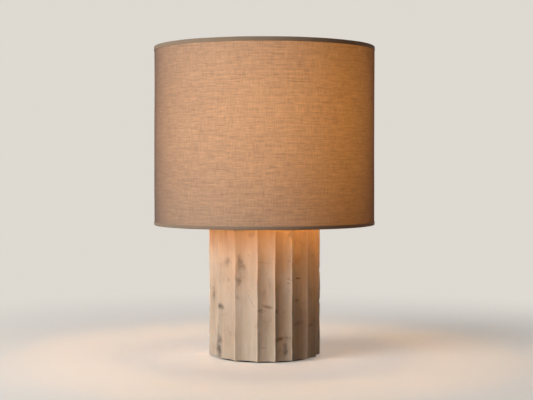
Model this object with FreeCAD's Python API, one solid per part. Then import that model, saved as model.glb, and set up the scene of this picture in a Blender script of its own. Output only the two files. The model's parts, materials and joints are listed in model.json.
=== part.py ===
import FreeCAD, Part
import math
import os

# Column table lamp: a fluted stone column that carries a linen drum shade on a harp.
#
# Millimetres, +Z up. The origin is the centre of the foot, on the table. The front is -Y, the cord inlet
# is at the back (+Y), and the harp stands in the XZ plane. Each sub-part is written to parts/NODE.step.

V = FreeCAD.Vector
ORIGIN = V(0, 0, 0)
UP = V(0, 0, 1)

# ---------------------------------------------------------------- overall sizes
LAMP_HEIGHT = 607.0            # table to the top edge of the shade
SHADE_HEIGHT = 349.0
SHADE_DIAMETER = 432.0         # over the linen
COLUMN_HEIGHT = 282.0
COLUMN_DIAMETER = 219.0        # over the arrises, the sharp edges between the flutes

# ---------------------------------------------------------------- fluted column
# The flutes are carved by eye, so no two are quite as wide. Their widths are degrees of the column, counted
# from the first arris. Angles start at the front (-Y) and grow towards +X.
FIRST_ARRIS = -81.0
FLUTE_WIDTHS = (26.0, 24.2, 23.8, 17.8, 18.4, 20.2, 17.7, 19.4, 20.0,
                21.0, 20.5, 20.0, 24.0, 21.5, 22.5, 21.0, 22.0)
FLUTE_DEPTH_SHARE = 0.12       # depth of a flute as a share of its own width
COLUMN_WALL = 20.0             # stone left behind the deepest flute
COLUMN_ROOF = 32.0             # stone left above the core
PLATE_LEDGE = 4.0              # width of the step that the base plate bears on
PLATE_RECESS = 24.0            # from the stone's foot up to that step
EDGE_EASE = 0.8                # chamfer on the rim of the stone's two ends

# ---------------------------------------------------------------- foot and clamping stack
FELT_THICKNESS = 3.0
FELT_INSET = 14.0              # from the arrises in to the edge of the felt
PLATE_THICKNESS = 5.0
PLATE_GAP = 0.5                # radial room of the base plate in its recess
PIPE_DIAMETER = 10.0           # threaded lamp pipe
PIPE_BORE = 7.0
PIPE_ROOM = 0.3                # radial room of the pipe in the pieces that it passes through
PIPE_TAIL = 1.5                # pipe left showing under the base nut
NUT_RIM = 2.5                  # least wall of a nut, at the middle of its flats
NUT_HEIGHT = 5.0
LOCK_WASHER_WIDTH = 3.2        # radial width of its ring
LOCK_WASHER_THICKNESS = 1.6
LOCK_WASHER_SLIT = 2.0
WASHER_WIDTH = 10.0            # radial width of the plain washer
WASHER_THICKNESS = 2.0

# ---------------------------------------------------------------- cord gland
GLAND_BORE = 6.6               # for a round 6 mm lead
GLAND_WALL = 1.3
GLAND_FLANGE_WIDTH = 2.6       # how far the flange stands out round the sleeve
GLAND_FLANGE_THICKNESS = 2.2
GLAND_ROOM = 0.1               # radial room of the sleeve in its channel and its nut
GLAND_LIP = 6.0                # stone left between the cord channel and the foot
GLAND_NUT_HEIGHT = 3.5
GLAND_TAIL = 1.5               # sleeve left showing inside its nut
SPOT_FACE_DEPTH = 1.2          # flat cut in the flute's floor for the flange
SPOT_FACE_ROOM = 0.6

# ---------------------------------------------------------------- column cap, neck and harp saddle
GASKET_THICKNESS = 1.0
GASKET_INSET = 5.0             # from the cap's rim in to the gasket's
CAP_DIAMETER = 58.0
CAP_THICKNESS = 3.0
CAP_RIM = 1.2                  # radius of the cap's rounded edge
NECK_HEIGHT = 14.0
NECK_WALL = 3.0
SADDLE_THICKNESS = 2.0
SADDLE_WIDTH = 18.0            # of the strap round the pipe
SADDLE_BOSS = 11.0             # half length of that wide part
SADDLE_TAPER = 9.0             # length over which the strap narrows
SADDLE_BEND = 1.8              # radius outside the strap's bends
SADDLE_NUT_HEIGHT = 4.5
EAR_WIDTH = 4.5
EAR_THICKNESS = 1.8
EAR_HEIGHT = 13.0

# ---------------------------------------------------------------- harp
HARP_WIRE = 4.5
HARP_LEG_SPACING = 72.0        # between the legs where they enter the saddle
HARP_WIDTH = 148.0             # between the legs at their widest
HARP_LEG_RISE = 46.0           # from the saddle up to where the legs spread
HARP_SPREAD_RISE = 62.0        # height in which they spread
HARP_SPREAD_BEND = 45.0
HARP_ARCH_BEND = 58.0
LEG_GAP = 0.3                  # between a leg and the saddle
LEG_FLAT = 0.1                 # from a leg's centre line out to its filed flat
SLEEVE_OVER_EAR = 3.0          # sleeve above the top of the ear
SLEEVE_WALL = 0.9
SLEEVE_ROOM = 0.5              # least room between the sleeve and what it holds together
EYE_DIAMETER = 18.0            # flattened eye at the top of the harp
EYE_THICKNESS = 3.0
EYE_WELD = 1.0                 # how far the wire runs into the eye
STUD_SHANK = 4.0
STUD_RUNNING_ROOM = 0.08
STUD_HEAD_WIDTH = 1.5          # how far the riveted head stands out round the shank
STUD_HEAD_HEIGHT = 1.3
STUD_SHOULDER = 16.0
STUD_SHOULDER_HEIGHT = 2.0
POST_DIAMETER = 6.2
POST_HEIGHT = 11.0             # over the spider's hub
POST_EASE = 0.6

# ---------------------------------------------------------------- shade
LINEN_THICKNESS = 0.8
LINER_THICKNESS = 0.5
SEAM_WIDTH = 12.0              # overlap of the linen at the back
SEAM_THICKNESS = 0.5
TAPE_THICKNESS = 0.8
TOP_TAPE_HEIGHT = 8.0
BOTTOM_TAPE_HEIGHT = 6.0
TAPE_TUCK = 6.5                # how far the tape runs back inside
TAPE_ROOM = 0.5                # between a ring and the tape folded behind it
RING_WIRE = 4.0
RING_ROOM = 0.1                # glue line round a ring
SPIDER_ARMS = 3
SPIDER_WIRE = 4.0
SPIDER_DROP = 24.0             # from the ring's centre down to the arms'
SPIDER_BEND = 9.0
SPIDER_ROOM = 0.3              # between an arm and the liner
HUB_DIAMETER = 28.0
HUB_THICKNESS = 2.0
HUB_ROOM = 0.35                # radial room of the post in the hub

# ---------------------------------------------------------------- finial
FINIAL_HEIGHT = 24.0
FINIAL_BASE = 15.0
FINIAL_BASE_HEIGHT = 3.4
FINIAL_KNOB = 17.0
FINIAL_WAIST = 9.0
FINIAL_ROOM = 0.1
FINIAL_BORE_END = 1.0          # room over the post
FINIAL_TO_ARM = 2.0            # between the finial's base and the ends of the arms

# ---------------------------------------------------------------- socket
SLIP = 0.1                     # room between nested or stacked pieces
SOCKET_HUB_HEIGHT = 6.0
SOCKET_HUB_WALL = 3.0
SOCKET_CAP_WALL = 0.9
SOCKET_CAP_RISE = 8.0          # height and depth of the dome between hub and skirt
SOCKET_CAP_SKIRT = 6.0
SHELL_WALL = 0.5
SHELL_OVERLAP = 4.0            # shell inside the cap's skirt
LINER_WALL = 0.8
LINER_PROUD = 1.0              # liner over the shell's mouth
CORE_OVER_SHAFT = 3.5
THREAD_RADIUS = 12.7           # of the lamp thread on the bulb, at mid depth
THREAD_DEPTH = 0.8
THREAD_PITCH = 3.6
THREAD_TURNS = 6
THREAD_WALL = 0.4
THREAD_ROOM = 0.3
CONTACT_RADIUS = 4.0
CONTACT_THICKNESS = 1.0
CONTACT_ROOM = 0.3             # between the contact and the bulb's tip
TERMINAL_HEAD_RADIUS = 2.8
TERMINAL_HEAD_HEIGHT = 1.6
TERMINAL_SHANK_RADIUS = 1.5
TERMINAL_SHANK_LENGTH = 4.0
TERMINAL_POCKET_ROOM = 1.4     # round the screw's head
TERMINAL_POCKET_DEPTH = 4.0
SET_SCREW_RADIUS = 1.5
SET_SCREW_PROUD = 2.0

# ---------------------------------------------------------------- switch
SHAFT_RADIUS = 1.6
SHAFT_ROOM = 0.08
SHAFT_HOLE_ROOM = 0.7          # in the shell and its liner
SHAFT_HOLE_EDGE = 1.2          # shell between that hole and the cap's skirt
SHAFT_DEPTH = 10.0             # of the shaft in the core
SHAFT_END_ROOM = 0.3
KNOB_STANDOFF = 1.6            # from the cap's skirt to the knob
KNOB_LENGTH = 14.0
KNOB_RADIUS = 6.6
KNOB_NECK_RADIUS = 4.5
KNOB_NECK_LENGTH = 3.0
KNOB_EDGE = 1.2
KNOB_RIBS = 12
KNOB_RIB_RADIUS = 0.7
KNOB_GRIP = 9.0                # depth of the shaft in the knob

# ---------------------------------------------------------------- bulb
BULB_DIAMETER = 60.0
GLASS_WALL = 1.0
BULB_NECK_LENGTH = 5.0         # straight glass over the metal cap
BULB_FLARE = 45.0              # radius of the sweep from neck to globe
BULB_SEAT = 6.0                # glass neck inside the metal cap
INSULATOR_HEIGHT = 4.0
INSULATOR_SEAT = 2.0           # insulator inside the metal cap
INSULATOR_TIP = 5.5            # its radius at the tip
TIP_RADIUS = 3.5
TIP_HEIGHT = 1.8
TIP_FLAT = 2.0
STEM_RADIUS = 3.0
STEM_FLANGE_HEIGHT = 2.0
STEM_FLARE_HEIGHT = 12.0
STEM_HEIGHT = 38.0
LEAD_RADIUS = 0.4
LEAD_FOOT = 1.6                # from the stem's axis to where a lead leaves it
LEAD_SPREAD = 12.0             # from the axis to a lead's upper end
FILAMENT_RADIUS = 1.1
FILAMENT_RISE = 5.0
FILAMENT_BEND = 15.0

# ---------------------------------------------------------------- places that follow from the sizes
arris_radius = COLUMN_DIAMETER / 2
widest_half = math.radians(max(FLUTE_WIDTHS) / 2)
deepest_flute = FLUTE_DEPTH_SHARE * COLUMN_DIAMETER * math.sin(widest_half)
core_radius = arris_radius * math.cos(widest_half) - deepest_flute - COLUMN_WALL
recess_radius = core_radius + PLATE_LEDGE
column_foot = FELT_THICKNESS
column_top = column_foot + COLUMN_HEIGHT

pipe_radius = PIPE_DIAMETER / 2
pipe_hole = pipe_radius + PIPE_ROOM
nut_flats = PIPE_DIAMETER + 2 * NUT_RIM
plate_top = column_foot + PLATE_RECESS
plate_bottom = plate_top - PLATE_THICKNESS
washer_bottom = plate_bottom - WASHER_THICKNESS
lock_bottom = washer_bottom - LOCK_WASHER_THICKNESS
nut_bottom = lock_bottom - NUT_HEIGHT
pipe_bottom = nut_bottom - PIPE_TAIL

gasket_top = column_top + GASKET_THICKNESS
cap_top = gasket_top + CAP_THICKNESS
neck_top = cap_top + NECK_HEIGHT
saddle_top = neck_top + SADDLE_THICKNESS
ear_top = saddle_top + EAR_HEIGHT
socket_bottom = saddle_top + SADDLE_NUT_HEIGHT

screw_shell_mid = THREAD_RADIUS + THREAD_ROOM + THREAD_WALL
liner_inner = screw_shell_mid + (THREAD_WALL + THREAD_DEPTH) / 2 + SLIP
liner_outer = liner_inner + LINER_WALL
shell_inner = liner_outer + SLIP
shell_outer = shell_inner + SHELL_WALL
skirt_inner = shell_outer + SLIP
skirt_outer = skirt_inner + SOCKET_CAP_WALL
socket_hub_radius = pipe_radius + SOCKET_HUB_WALL
dome_bottom = socket_bottom + SOCKET_HUB_HEIGHT
dome_top = dome_bottom + SOCKET_CAP_RISE
skirt_top = dome_top + SOCKET_CAP_SKIRT
shell_bottom = skirt_top - SHELL_OVERLAP
shaft_height = skirt_top + SHAFT_HOLE_EDGE + SHAFT_HOLE_ROOM + SHAFT_RADIUS
core_side = liner_inner - SLIP
core_top = shaft_height + SHAFT_RADIUS + CORE_OVER_SHAFT
core_middle = (dome_top + core_top) / 2
knob_start = skirt_outer + KNOB_STANDOFF

contact_top = core_top + CONTACT_THICKNESS
tip_bottom = contact_top + CONTACT_ROOM
insulator_bottom = tip_bottom + TIP_HEIGHT
bulb_cap_bottom = insulator_bottom + INSULATOR_HEIGHT
bulb_cap_top = bulb_cap_bottom + THREAD_PITCH * THREAD_TURNS
bulb_cap_bore = THREAD_RADIUS - (THREAD_WALL + THREAD_DEPTH) / 2
bulb_neck = bulb_cap_bore - SLIP
glass_bottom = bulb_cap_top - BULB_SEAT
glass_neck_top = bulb_cap_top + BULB_NECK_LENGTH
globe_radius = BULB_DIAMETER / 2
globe_height = glass_neck_top + math.sqrt((globe_radius - bulb_neck)
                                          * (globe_radius + bulb_neck + 2 * BULB_FLARE))
stem_top = glass_bottom + STEM_HEIGHT

shade_top = LAMP_HEIGHT
shade_bottom = shade_top - SHADE_HEIGHT
linen_outer = SHADE_DIAMETER / 2
linen_inner = linen_outer - LINEN_THICKNESS
liner_face = linen_inner - LINER_THICKNESS
fabric_top = shade_top - TAPE_THICKNESS
fabric_bottom = shade_bottom + TAPE_THICKNESS
ring_radius = liner_face - RING_ROOM - RING_WIRE / 2
top_ring_height = fabric_top - RING_ROOM - RING_WIRE / 2
bottom_ring_height = fabric_bottom + RING_ROOM + RING_WIRE / 2
arm_height = top_ring_height - SPIDER_DROP
hub_top = arm_height - SPIDER_WIRE / 2
shoulder_top = hub_top - HUB_THICKNESS
shoulder_bottom = shoulder_top - STUD_SHOULDER_HEIGHT
eye_top = shoulder_bottom - STUD_RUNNING_ROOM
harp_top = eye_top - EYE_THICKNESS / 2
eye_bottom = eye_top - EYE_THICKNESS
post_radius = POST_DIAMETER / 2
post_top = hub_top + POST_HEIGHT
leg_x = HARP_LEG_SPACING / 2
ear_inner = leg_x + LEG_FLAT + LEG_GAP
ear_outer = ear_inner + EAR_THICKNESS


# ---------------------------------------------------------------- making solids
def cylinder(radius, bottom, top):
    """Round bar on the lamp's axis."""
    return Part.makeCylinder(radius, top - bottom, V(0, 0, bottom), UP)


def ring(outer, inner, bottom, top):
    """Washer or sleeve on the lamp's axis."""
    return cylinder(outer, bottom, top).cut(cylinder(inner, bottom, top))


def bar(radius, start, end):
    """Round bar from one point to another."""
    axis = end.sub(start)
    return Part.makeCylinder(radius, axis.Length, start, axis)


def block(low, high):
    """Box from its lowest to its highest corner."""
    size = high.sub(low)
    return Part.makeBox(size.x, size.y, size.z, low)


def both_sides(piece):
    """A piece and its mirror image across the YZ plane."""
    return [piece, piece.mirror(ORIGIN, V(1, 0, 0))]


def turned(outline):
    """Solid of revolution about Z. An outline is a list of (radius, height) corners; an entry that holds
    two points is an arc through the first that ends at the second."""
    start = V(outline[0][0], 0, outline[0][1])
    here = start
    edges = []
    for entry in outline[1:] + [outline[0]]:
        if isinstance(entry[0], tuple):
            through, end = [V(radius, 0, height) for radius, height in entry]
            edges.append(Part.Arc(here, through, end).toShape())
        else:
            end = V(entry[0], 0, entry[1])
            edges.append(Part.LineSegment(here, end).toShape())
        here = end
    solid = Part.Face(Part.Wire(edges)).revolve(ORIGIN, UP, 360)
    if solid.Volume < 0:
        solid.reverse()
    return solid


def on_arc(centre, radius, degrees):
    """Point of an arc in the (radius, height) plane, for turned()."""
    angle = math.radians(degrees)
    return (centre[0] + radius * math.cos(angle), centre[1] + radius * math.sin(angle))


def bent_wire(points, bends, radius):
    """Round wire along straight runs, with a tangent arc of its own radius at each inner corner."""
    edges = []
    here = points[0]
    for before, corner, after, bend in zip(points, points[1:], points[2:], bends):
        back = before.sub(corner).normalize()
        onward = after.sub(corner).normalize()
        half = back.getAngle(onward) / 2
        start = corner.add(V(back).multiply(bend / math.tan(half)))
        end = corner.add(V(onward).multiply(bend / math.tan(half)))
        inward = V(back).add(onward).normalize()
        middle = corner.add(inward.multiply(bend / math.sin(half) - bend))
        edges.append(Part.LineSegment(here, start).toShape())
        edges.append(Part.Arc(start, middle, end).toShape())
        here = end
    edges.append(Part.LineSegment(here, points[-1]).toShape())
    section = Part.Wire([Part.Circle(points[0], points[1].sub(points[0]), radius).toShape()])
    return Part.Wire(edges).makePipeShell([section], True, True)


def hex_nut(across_flats, hole, bottom, top):
    """Hexagonal nut on the lamp's axis, its corners eased at both ends."""
    flat = across_flats / 2
    corner = across_flats / math.sqrt(3)
    ease = corner - flat
    angles = [math.radians(60 * k) for k in range(7)]
    outline = [V(corner * math.cos(a), corner * math.sin(a), bottom) for a in angles]
    prism = Part.Face(Part.makePolygon(outline)).extrude(V(0, 0, top - bottom))
    barrel = turned([(0, bottom), (flat, bottom), (corner, bottom + ease), (corner, top - ease),
                     (flat, top), (0, top)])
    return prism.common(barrel).cut(cylinder(hole, bottom, top))


def thread_sleeve(mid_radius, foot, bottom):
    """Thin sleeve: straight from its foot up, then rolled into one rounded ridge for each turn of thread."""
    half_pitch = THREAD_PITCH / 2
    swing = THREAD_DEPTH / 2
    outer = mid_radius + THREAD_WALL / 2
    inner = mid_radius - THREAD_WALL / 2
    waves = [(k, swing if k % 2 == 0 else -swing) for k in range(2 * THREAD_TURNS)]
    up = [((outer + bulge, bottom + (k + 0.5) * half_pitch), (outer, bottom + (k + 1) * half_pitch))
          for k, bulge in waves]
    down = [((inner + bulge, bottom + (k + 0.5) * half_pitch), (inner, bottom + k * half_pitch))
            for k, bulge in reversed(waves)]
    top = bottom + THREAD_PITCH * THREAD_TURNS
    return turned([(inner, foot), (outer, foot), (outer, bottom)] + up + [(inner, top)] + down)


# ---------------------------------------------------------------- the column and its foot
def arris(angle):
    """Point on the arris circle, at an angle counted from the front."""
    turn = math.radians(angle)
    return V(arris_radius * math.sin(turn), -arris_radius * math.cos(turn), column_foot)


def flutes():
    """The angle at which each flute starts, and its width."""
    start = FIRST_ARRIS
    for width in FLUTE_WIDTHS:
        yield start, width
        start += width


def flute_outline():
    """Plan of the column: one shallow arc for each flute, meeting in sharp arrises."""
    edges = []
    for angle, width in flutes():
        start = arris(angle)
        end = arris(angle + width)
        chord = end.sub(start)
        inward = V(-chord.y, chord.x, 0).normalize()
        middle = start.add(end).multiply(0.5).add(inward.multiply(FLUTE_DEPTH_SHARE * chord.Length))
        edges.append(Part.Arc(start, middle, end).toShape())
    return Part.Wire(edges)


def back_flute_floor():
    """Distance from the axis to the floor of the flute at the back, where the cord leaves."""
    width = next(width for angle, width in flutes() if angle < 180 < angle + width)
    half = math.radians(width / 2)
    return arris_radius * (math.cos(half) - 2 * FLUTE_DEPTH_SHARE * math.sin(half))


gland_radius = GLAND_BORE / 2 + GLAND_WALL
gland_flange = gland_radius + GLAND_FLANGE_WIDTH
gland_height = column_foot + GLAND_LIP + gland_radius + GLAND_ROOM
gland_seat = back_flute_floor() - SPOT_FACE_DEPTH
gland_nut_corner = 2 * (gland_radius + GLAND_ROOM + NUT_RIM) / math.sqrt(3)
gland_nut_seat = math.sqrt(recess_radius ** 2 - gland_nut_corner ** 2)


def rim_cutter(rim, into):
    """Ring that takes the sharp rim off one end of the stone. into is 1 at the foot and -1 at the top."""
    outside = arris_radius + EDGE_EASE
    beyond = rim - into * EDGE_EASE
    return turned([(arris_radius - 2 * EDGE_EASE, beyond), (outside, beyond),
                   (outside, rim + into * 2 * EDGE_EASE)])


def column():
    """Stone, cored from below, with a recess for the base plate and a cord channel at the back."""
    stone = Part.Face(flute_outline()).extrude(V(0, 0, COLUMN_HEIGHT))
    stone = stone.cut(rim_cutter(column_foot, 1)).cut(rim_cutter(column_top, -1))
    stone = stone.cut(cylinder(recess_radius, column_foot, plate_top))
    stone = stone.cut(cylinder(core_radius, plate_top, column_top - COLUMN_ROOF))
    stone = stone.cut(cylinder(pipe_hole, column_top - COLUMN_ROOF, column_top))
    outside = V(0, arris_radius, gland_height)
    channel = bar(gland_radius + GLAND_ROOM, V(0, 0, gland_height), outside)
    spot_face = bar(gland_flange + SPOT_FACE_ROOM, V(0, gland_seat, gland_height), outside)
    return stone.cut(channel).cut(spot_face)


def foot_pad():
    """Felt disc that closes the foot."""
    return cylinder(arris_radius - FELT_INSET, 0, column_foot)


def base_plate():
    return ring(recess_radius - PLATE_GAP, pipe_hole, plate_bottom, plate_top)


def base_washer():
    return ring(pipe_hole + WASHER_WIDTH, pipe_hole, washer_bottom, plate_bottom)


def lock_washer():
    """Split washer, with its slit towards the back."""
    outer = pipe_hole + LOCK_WASHER_WIDTH
    half_slit = LOCK_WASHER_SLIT / 2
    slit = block(V(-half_slit, 0, lock_bottom), V(half_slit, outer, washer_bottom))
    return ring(outer, pipe_hole, lock_bottom, washer_bottom).cut(slit)


def base_nut():
    return hex_nut(nut_flats, pipe_radius, nut_bottom, lock_bottom)


def lamp_pipe():
    """Threaded pipe that clamps plate, column, cap, neck and saddle, and carries the socket."""
    return ring(pipe_radius, PIPE_BORE / 2, pipe_bottom, dome_bottom)


def cord_gland():
    """Flanged bush that the mains lead leaves through."""
    seat = V(0, gland_seat, gland_height)
    inside = V(0, gland_nut_seat - GLAND_NUT_HEIGHT - GLAND_TAIL, gland_height)
    outside = V(0, gland_seat + GLAND_FLANGE_THICKNESS, gland_height)
    flange = bar(gland_flange, seat, outside)
    rim = [edge for edge in flange.Edges if edge.BoundBox.YMin > outside.y - SLIP]
    flange = flange.makeFillet(GLAND_FLANGE_THICKNESS / 2, rim)
    sleeve = bar(gland_radius, inside, seat)
    return flange.fuse(sleeve).cut(bar(GLAND_BORE / 2, inside, outside)).removeSplitter()


def gland_nut():
    """Nut that draws the gland against the column's wall from inside."""
    flats = 2 * (gland_radius + GLAND_ROOM + NUT_RIM)
    nut = hex_nut(flats, gland_radius + GLAND_ROOM, 0, GLAND_NUT_HEIGHT)
    nut.rotate(ORIGIN, V(1, 0, 0), 90)
    nut.translate(V(0, gland_nut_seat, gland_height))
    return nut


# ---------------------------------------------------------------- cap, neck and saddle
def cap_gasket():
    return ring(CAP_DIAMETER / 2 - GASKET_INSET, pipe_hole, column_top, gasket_top)


def column_cap():
    """Turned disc with a rounded upper edge."""
    outer = CAP_DIAMETER / 2
    rim = (outer - CAP_RIM, cap_top - CAP_RIM)
    return turned([(pipe_hole, gasket_top), (outer, gasket_top), (outer, rim[1]),
                   (on_arc(rim, CAP_RIM, 45), (rim[0], cap_top)), (pipe_hole, cap_top)])


def neck_spacer():
    return ring(pipe_hole + NECK_WALL, pipe_hole, cap_top, neck_top)


def harp_saddle():
    """Strap on the neck, turned up at both ends into ears that the harp's legs stand against."""
    half_boss = SADDLE_WIDTH / 2
    half_ear = EAR_WIDTH / 2
    taper_end = SADDLE_BOSS + SADDLE_TAPER
    right = [(SADDLE_BOSS, -half_boss), (taper_end, -half_ear), (ear_outer, -half_ear),
             (ear_outer, half_ear), (taper_end, half_ear), (SADDLE_BOSS, half_boss)]
    left = [(-x, -y) for x, y in right]
    plan = Part.makePolygon([V(x, y, neck_top) for x, y in right + left + right[:1]])
    saddle = Part.Face(plan).extrude(V(0, 0, SADDLE_THICKNESS))
    ear = block(V(ear_inner, -half_ear, neck_top), V(ear_outer, half_ear, ear_top))
    saddle = saddle.fuse(both_sides(ear)).removeSplitter()
    bends = [edge for edge in saddle.Edges
             if edge.BoundBox.ZMax < neck_top + SLIP and edge.BoundBox.XLength < SLIP
             and abs(edge.CenterOfMass.x) > ear_inner]
    saddle = saddle.makeFillet(SADDLE_BEND, bends)
    return saddle.cut(cylinder(pipe_hole, neck_top, saddle_top))


def saddle_nut():
    return hex_nut(nut_flats, pipe_radius, saddle_top, socket_bottom)


# ---------------------------------------------------------------- harp
def harp_wire():
    """Bent wire with a flattened eye at the top. Each leg's foot is filed flat towards its ear."""
    foot = saddle_top + LEG_GAP
    elbow = saddle_top + HARP_LEG_RISE
    shoulder = elbow + HARP_SPREAD_RISE
    wide = HARP_WIDTH / 2
    right = [V(leg_x, 0, foot), V(leg_x, 0, elbow), V(wide, 0, shoulder), V(wide, 0, harp_top)]
    left = [V(-point.x, 0, point.z) for point in reversed(right)]
    bends = [HARP_SPREAD_BEND, HARP_SPREAD_BEND, HARP_ARCH_BEND]
    wire = bent_wire(right + left, bends + bends[::-1], HARP_WIRE / 2)

    eye_radius = EYE_DIAMETER / 2
    weld = eye_radius - EYE_WELD
    room = V(weld, HARP_WIRE, HARP_WIRE)
    wire = wire.cut(block(V(0, 0, eye_bottom).sub(room), V(0, 0, eye_top).add(room)))
    wire = wire.cut(cylinder(eye_radius, eye_top, eye_top + HARP_WIRE))
    harp = wire.fuse(cylinder(eye_radius, eye_bottom, eye_top))
    harp = harp.cut(cylinder(STUD_SHANK / 2 + STUD_RUNNING_ROOM, eye_bottom, eye_top))

    flat = block(V(leg_x + LEG_FLAT, -HARP_WIRE, foot), V(leg_x + HARP_WIRE, HARP_WIRE, ear_top + LEG_GAP))
    return harp.cut(both_sides(flat))


def sleeve():
    """Loose ferrule that drops over the right leg and its ear and holds them together."""
    inner_reach = leg_x - HARP_WIRE / 2
    centre = (inner_reach + ear_outer) / 2
    bore = math.hypot(ear_outer - centre, EAR_WIDTH / 2) + SLEEVE_ROOM
    foot = V(centre, 0, saddle_top + LEG_GAP)
    top = V(centre, 0, ear_top + SLEEVE_OVER_EAR)
    return bar(bore + SLEEVE_WALL, foot, top).cut(bar(bore, foot, top))


def right_sleeve():
    return both_sides(sleeve())[0]


def left_sleeve():
    return both_sides(sleeve())[1]


def harp_stud():
    """Swivelling stud, riveted through the harp's eye. Its post carries the shade and the finial."""
    head_top = eye_bottom - STUD_RUNNING_ROOM
    head_bottom = head_top - STUD_HEAD_HEIGHT
    shank = STUD_SHANK / 2
    head = shank + STUD_HEAD_WIDTH
    shoulder = STUD_SHOULDER / 2
    return turned([(0, head_bottom), (shank, head_bottom), (head, head_top), (shank, head_top),
                   (shank, shoulder_bottom), (shoulder, shoulder_bottom), (shoulder, shoulder_top),
                   (post_radius, shoulder_top), (post_radius, post_top - POST_EASE),
                   (post_radius - POST_EASE, post_top), (0, post_top)])


# ---------------------------------------------------------------- shade
def shade_linen():
    """Linen drum, glued in a narrow overlap at the back."""
    drum = ring(linen_outer, linen_inner, fabric_bottom, fabric_top)
    half = SEAM_WIDTH / 2
    low = shade_bottom + BOTTOM_TAPE_HEIGHT
    high = shade_top - TOP_TAPE_HEIGHT
    lap = ring(linen_outer + SEAM_THICKNESS, linen_inner, low, high)
    lap = lap.common(block(V(-half, 0, low), V(half, SHADE_DIAMETER, high)))
    return drum.fuse(lap).removeSplitter()


def shade_liner():
    """Stiff translucent sheet that the linen is bonded to."""
    return ring(linen_inner, liner_face, fabric_bottom, fabric_top)


def top_ring():
    return Part.makeTorus(ring_radius, RING_WIRE / 2, V(0, 0, top_ring_height), UP)


def bottom_ring():
    return Part.makeTorus(ring_radius, RING_WIRE / 2, V(0, 0, bottom_ring_height), UP)


def tape(edge, fold, outer_end, inner_end):
    """Tape folded over one end of the shade and its ring, from its outer end round to its inner end."""
    outside = linen_outer + TAPE_THICKNESS
    inside = ring_radius - RING_WIRE / 2 - TAPE_ROOM
    return turned([(outside, edge), (outside, outer_end), (linen_outer, outer_end), (linen_outer, fold),
                   (inside, fold), (inside, inner_end), (inside - TAPE_THICKNESS, inner_end),
                   (inside - TAPE_THICKNESS, edge)])


def top_trim():
    return tape(shade_top, fabric_top, shade_top - TOP_TAPE_HEIGHT, shade_top - TAPE_TUCK)


def bottom_trim():
    return tape(shade_bottom, fabric_bottom, shade_bottom + BOTTOM_TAPE_HEIGHT, shade_bottom + TAPE_TUCK)


def spider_arms():
    """Arms welded under the top ring. Each drops, bends and runs in to lie on the hub."""
    outer_end = ring_radius - SPIDER_ROOM
    inner_end = FINIAL_BASE / 2 + FINIAL_TO_ARM
    start = V(outer_end, 0, top_ring_height - RING_WIRE / 4)
    arm = bent_wire([start, V(outer_end, 0, arm_height), V(inner_end, 0, arm_height)],
                    [SPIDER_BEND], SPIDER_WIRE / 2)
    arm = arm.cut(top_ring())
    arms = []
    for k in range(SPIDER_ARMS):
        copy = arm.copy()
        copy.rotate(ORIGIN, UP, 90 + k * 360 / SPIDER_ARMS)
        arms.append(copy)
    return Part.makeCompound(arms)


def spider_hub():
    return ring(HUB_DIAMETER / 2, post_radius + HUB_ROOM, shoulder_top, hub_top)


def finial():
    """Turned knob that screws down the post on to the spider's hub."""
    base = FINIAL_BASE / 2
    waist = FINIAL_WAIST / 2
    knob = FINIAL_KNOB / 2
    top = hub_top + FINIAL_HEIGHT
    base_top = hub_top + FINIAL_BASE_HEIGHT
    ball = (0, top - knob)
    joint_angle = -math.degrees(math.acos(waist / knob))
    joint = on_arc(ball, knob, joint_angle)
    hollow = (waist + (base - waist) / 4, (base_top + joint[1]) / 2)
    bore = post_radius + FINIAL_ROOM
    bore_top = post_top + FINIAL_BORE_END
    return turned([(bore, hub_top), (base, hub_top), (base, base_top), (hollow, joint),
                   (on_arc(ball, knob, (joint_angle + 90) / 2), (0, top)), (0, bore_top), (bore, bore_top)])


# ---------------------------------------------------------------- socket
def shaft_hole(radius, depth):
    """Cutter for a hole that runs in from the front of the socket, to that depth inside its core."""
    return bar(radius, V(0, -(core_side - depth), shaft_height), V(0, -skirt_outer, shaft_height))


def set_screw():
    """Screw in the cap's hub that stops it turning on the pipe."""
    height = (socket_bottom + dome_bottom) / 2
    return bar(SET_SCREW_RADIUS, V(0, pipe_radius, height),
               V(0, socket_hub_radius + SET_SCREW_PROUD, height)).cut(lamp_pipe())


def socket_cap():
    """Spun cap: a hub on the pipe, a dome, and the skirt that grips the shell."""
    foot = max(socket_hub_radius, skirt_outer - SOCKET_CAP_RISE)
    quarter = math.sqrt(0.5)
    floor = dome_bottom + SOCKET_CAP_WALL
    outside = (foot + (skirt_outer - foot) * quarter, dome_top - SOCKET_CAP_RISE * quarter)
    inside = (foot + (skirt_inner - foot) * quarter, dome_top - (dome_top - floor) * quarter)
    wire_hole = PIPE_BORE / 2
    cap = turned([(pipe_radius, socket_bottom), (socket_hub_radius, socket_bottom),
                  (socket_hub_radius, dome_bottom), (foot + SLIP, dome_bottom),
                  (outside, (skirt_outer, dome_top)), (skirt_outer, skirt_top), (skirt_inner, skirt_top),
                  (skirt_inner, dome_top), (inside, (foot, floor)), (wire_hole, floor),
                  (wire_hole, dome_bottom), (pipe_radius, dome_bottom)])
    return cap.cut(set_screw())


def socket_shell():
    shell = ring(shell_outer, shell_inner, shell_bottom, bulb_cap_top)
    return shell.cut(shaft_hole(SHAFT_RADIUS + SHAFT_HOLE_ROOM, SHAFT_DEPTH))


def socket_liner():
    """Insulating paper tube inside the shell."""
    liner = ring(liner_outer, liner_inner, shell_bottom, bulb_cap_top + LINER_PROUD)
    return liner.cut(shaft_hole(SHAFT_RADIUS + SHAFT_HOLE_ROOM, SHAFT_DEPTH))


def terminal_seat():
    """Floor of the right terminal's pocket."""
    return V(core_side - TERMINAL_POCKET_DEPTH, 0, core_middle)


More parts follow.
